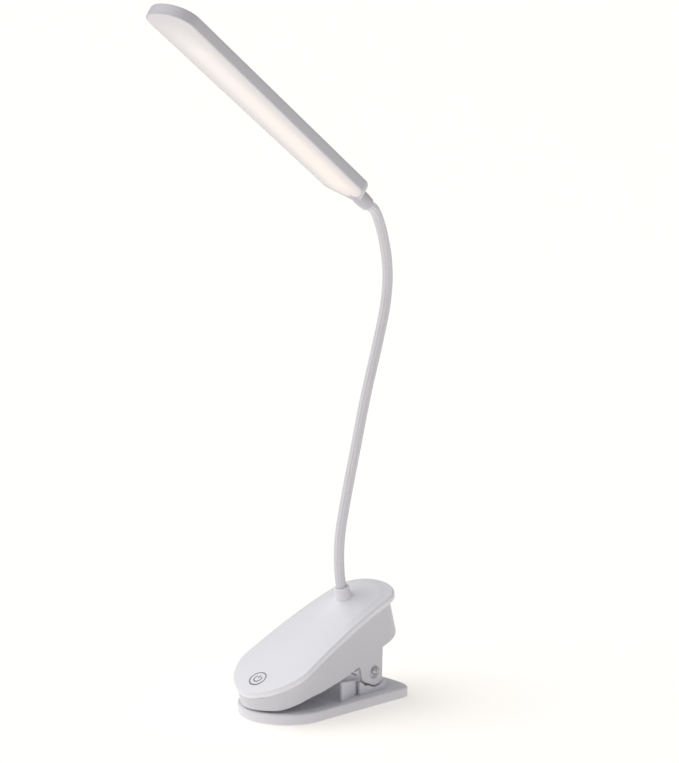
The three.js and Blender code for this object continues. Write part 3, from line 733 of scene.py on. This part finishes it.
# centripetal spline through the points, then evenly spaced by length
def smoothPath(points, count):
    whole = []
    pts = np.vstack([2 * points[0] - points[1], points, 2 * points[-1] - points[-2]])
    for k in range(1, len(pts) - 2):
        p0, p1, p2, p3 = pts[k - 1 : k + 3]
        t1 = np.linalg.norm(p1 - p0) ** 0.5
        t2 = t1 + np.linalg.norm(p2 - p1) ** 0.5
        t3 = t2 + np.linalg.norm(p3 - p2) ** 0.5
        t = np.linspace(t1, t2, 40, endpoint=False)[:, None]
        a1 = (t1 - t) / t1 * p0 + t / t1 * p1
        a2 = (t2 - t) / (t2 - t1) * p1 + (t - t1) / (t2 - t1) * p2
        a3 = (t3 - t) / (t3 - t2) * p2 + (t - t2) / (t3 - t2) * p3
        b1 = (t2 - t) / t2 * a1 + t / t2 * a2
        b2 = (t3 - t) / (t3 - t1) * a2 + (t - t1) / (t3 - t1) * a3
        whole.append((t2 - t) / (t2 - t1) * b1 + (t - t1) / (t2 - t1) * b2)
    whole = np.vstack(whole + [points[-1:]])
    run = np.concatenate([[0], np.cumsum(np.linalg.norm(np.diff(whole, axis=0), axis=1))])
    at = np.linspace(0, run[-1], count)
    return np.column_stack([np.interp(at, run, whole[:, k]) for k in range(3)])


neckLine = smoothPath(neckPoints(), neckSet["steps"])


# a stretch of the sleeve. Flutes: radius - depth * (half of 1 - cos(flutes * angle))^3
def sleevePiece(name, s, start, stop):
    line = neckLine[start : stop + 1]
    along = np.gradient(line, axis=0)
    along /= np.linalg.norm(along, axis=1)[:, None]
    across = np.array([1.0, 0, 0])
    ahead = np.cross(along, across)
    turn = np.linspace(0, 2 * math.pi, s["around"], endpoint=False)
    radius = s["radius"] - s["depth"] * (0.5 - 0.5 * np.cos(s["flutes"] * turn)) ** 3
    ring = radius[None, :, None] * (
        np.cos(turn)[None, :, None] * across + np.sin(turn)[None, :, None] * ahead[:, None, :]
    )
    return skin(name, line[:, None, :] + ring, neckSilicone, ends=(True, True), sharp=60)


bends = [joint["name"] for joint in frame["joints"] if joint["name"] != "clip_hinge"]
pivotAt = []
for name in bends:
    pivot = np.array(joints[name]["pos_m"]) / mm
    pivotAt.append(int(np.argmin(np.linalg.norm(neckLine - pivot, axis=1))))
middles = [(a + b) // 2 for a, b in zip(pivotAt, pivotAt[1:])]
cuts = [neckSet["first"]] + middles + [neckSet["last"]]
for k, name in enumerate(bends):
    piece = sleevePiece(f"neck_sleeve_bend_{k + 1}", neckSet, cuts[k], cuts[k + 1])
    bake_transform(piece)
    hidden = [f"neck_sleeve_{k + 1}"] if k < 4 else ["neck_end_sleeve"]
    hidden += [f"neck_core_{k + 1}"] if k < 4 else ["neck_end_core"]
    if k == 0:
        hidden += ["neck_root_sleeve", "neck_root_core"]
    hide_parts(*hidden)
print("neck made")


# the head's outline: a superellipse at the tip, and at the neck a shoulder that swells as sin(t)^1.6
def headLine(s, count):
    root, tip = s["root"], s["tip"]
    t = np.linspace(0, 1, 60)
    swell = np.sin(math.pi / 2 * t) ** 1.6
    x = root["neckHalf"] + (root["half"] - root["neckHalf"]) * swell
    taper = np.column_stack([x, root["y"] - root["taper"] * (1 - t)])
    right = np.vstack([taper, endLine(tip, 1)])
    left = right[:-1][::-1] * [-1, 1]
    return spaced(np.vstack([right, left]), count)


# a ring of the head's outline drawn in by a distance, narrowed to a share of its width, at a depth
# from the head's back
def headRing(line, by, depth, share=1.0):
    p = inset(line, by)
    middle = (p[:, 1].max() + p[:, 1].min()) / 2
    reach = (p[:, 1].max() - p[:, 1].min()) / 2
    shrink = 1 - (1 - share) * 12 / reach
    y = middle + (p[:, 1] - middle) * shrink
    return np.column_stack([p[:, 0] * share, y, np.full(len(p), depth)])


# the casing: a back that is slightly dished, rounded side walls and the face that the sheet is set in
def makeShell(s, line):
    rings = [headRing(line, 1.3, -0.25 * (1 - share**2), share) for share in np.linspace(0.02, 1, 12)]
    for a, b in zip(*rounded(1.3, 7, -90, 90)):
        rings.append(headRing(line, 1.3 - a, 1.3 + b))
    thick = s["thick"]
    for a, b in zip(*rounded(0.4, 5, 0, 90)):
        rings.append(headRing(line, 0.4 - a, thick - 0.4 + b))
    rings += [headRing(line, 1.0, thick, share) for share in np.linspace(1, 0.02, 9)]
    return skin("head_casing", inHead(np.array(rings)), headAbsShaded, ends=(True, True), sharp=50)


# the socket that takes the neck: a turned shape that sinks into the casing, given as
# (radius, place along the head)
def makeSocket(s):
    end, middle = s["socketEnd"], s["thick"] / 2
    section = [(3.4, end + 4), (3.4, end + 0.1), (3.7, end), (4.0, end + 0.15)]
    section += [(4.25, end + 0.6), (4.4, end + 2), (4.7, -33), (4.8, -30.5), (4.7, -28)]
    section += [(4.35, -25.5), (3.85, -23), (3.3, -20.5), (2.4, -17), (0.2, -12)]
    turn = np.linspace(0, 2 * math.pi, 64, endpoint=False)
    across, depth = np.cos(turn), np.sin(turn)
    rings = [np.column_stack([r * across, np.full(64, t), middle + r * depth]) for r, t in section]
    return skin("head_socket", inHead(np.array(rings)[::-1]), headAbsShaded, ends=(True, True), sharp=60)


# the sheet's outline: the head's own, less a narrow border, with a pointed round end towards the neck
def sheetLine(s, count):
    border = s["border"]
    tip = dict(s["tip"], half=s["tip"]["half"] - border, depth=s["tip"]["depth"] - border)
    root = dict(s["sheetRoot"], half=s["root"]["half"] - border)
    return twoEnded(root, tip, count)


# the lit sheet, with each point's place across and along it kept for the glow
def makeSheet(s):
    line = sheetLine(s, 420)
    face = s["thick"]
    rings = [headRing(line, 0, face - 0.9, share) for share in (0.02, 0.5, 1)]
    for a, b in zip(*rounded(0.25, 5, 0, 90)):
        rings.append(headRing(line, 0.25 - a, face - 0.12 + b))
    for share in np.linspace(0.99, 0.02, 24):
        rings.append(headRing(line, 0.3, face + 0.13 + 0.25 * (1 - share**2), share))
    rings = np.array(rings)
    made = skin("lit_sheet", inHead(rings), opal, ends=(True, True), sharp=60)
    flat = rings.reshape(-1, 3)
    low, high = flat[:, 1].min(), flat[:, 1].max()
    widening = np.clip(flat[:, 1] / s["tip"]["y"], 0, 1)
    half = s["root"]["half"] + (s["tip"]["half"] - s["root"]["half"]) * widening
    across = np.abs(flat[:, 0]) / half
    along = (flat[:, 1] - low) / (high - low)
    for label, values in (("across", across), ("along", along)):
        layer = made.data.attributes.new(label, "FLOAT", "POINT")
        layer.data.foreach_set("value", values.astype(np.float32))
    return made


outline = headLine(headSet, 420)
shell = makeShell(headSet, outline)
sheet = makeSheet(headSet)
socket = makeSocket(headSet)
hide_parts("head_shell")
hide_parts("diffuser")
for piece, slotName in ((shell, "head_abs"), (socket, "head_abs"), (sheet, "opal")):
    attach(piece, "head")
print("head made")


finishes = {
    "foot_pad": padSilicone,
    "lower_grip_pad": padSilicone,
    "upper_grip_pad": padSilicone,
    "hinge_pin": platedSteel,
    "torsion_spring": springSteel,
    "charge_port": platedSteel,
    "neck_nut": platedSteel,
    "battery_cell": cellWrap,
    "control_board": greenBoard,
    "touch_sensor": copperCore,
    "led_board": whiteBoard,
}
for name, node in nodes.items():
    if name.startswith("led_chip"):
        finishes[name] = ledPhosphor
    elif name.startswith("cover_screw"):
        finishes[name] = platedSteel
    elif "core" in name:
        finishes[name] = copperCore
    finish = finishes.get(name, clipAbsShaded)
    node.data.materials.clear()
    node.data.materials.append(finish)
    node.data.shade_smooth()
    node.data.set_sharp_from_angle(angle=math.radians(40))
print("finishes set")


stageSet = {
    "size": 8,
    "floor": "#f6f3ee",
    "glow": "#fffdf9",
    "floorGlow": 0.34,
    "seen": "#fffefb",
    "sky": "#f4f2f4",
    "skyStrength": 0.42,
}


# a pale floor that glows a little, so that it stays near white without harsh light on the lamp
def makeStage(s):
    size = s["size"]
    corners = [(-size, -size, 0), (size, -size, 0), (size, size, 0), (-size, size, 0)]
    mesh = bpy.data.meshes.new("floor")
    mesh.from_pydata(corners, [], [(0, 1, 2, 3)])
    floor = bpy.data.objects.new("floor", mesh)
    bpy.context.scene.collection.objects.link(floor)
    material, tree, shader = newMaterial("paleFloor")
    shader.inputs["Base Color"].default_value = linear(s["floor"])
    shader.inputs["Roughness"].default_value = 0.8
    shader.inputs["Emission Color"].default_value = linear(s["glow"])
    shader.inputs["Emission Strength"].default_value = s["floorGlow"]
    mesh.materials.append(material)
    world = bpy.data.worlds.new("studio")
    world.use_nodes = True
    bpy.context.scene.world = world
    # the studio's dim fill, with a white cyclorama behind whatever stands in it
    tree = world.node_tree
    fill = tree.nodes["Background"]
    fill.inputs["Color"].default_value = linear(s["sky"])
    fill.inputs["Strength"].default_value = s["skyStrength"]
    white = addNode(tree, "ShaderNodeBackground", Color=linear(s["seen"]), Strength=1.0)
    path = addNode(tree, "ShaderNodeLightPath")
    both = addNode(tree, "ShaderNodeMixShader", Fac=(path, "Is Camera Ray"))
    tree.links.new(fill.outputs[0], both.inputs[1])
    tree.links.new(white.outputs[0], both.inputs[2])
    tree.links.new(both.outputs[0], tree.nodes["World Output"].inputs["Surface"])


# a large even light far away: spread is its width as seen from the lamp, in degrees
def addLight(name, place, spread, power):
    data = bpy.data.lights.new(name, "SUN")
    data.angle = math.radians(spread)
    data.energy = power
    lamp = bpy.data.objects.new(name, data)
    bpy.context.scene.collection.objects.link(lamp)
    lamp.location = place
    lamp.rotation_euler = (-Vector(place)).to_track_quat("-Z", "Y").to_euler()


makeStage(stageSet)
addLight("key", (-1.3, -1.1, 2.2), 75, 1.6)
bpy.context.scene.view_settings.view_transform = "Standard"

print("stage lit")
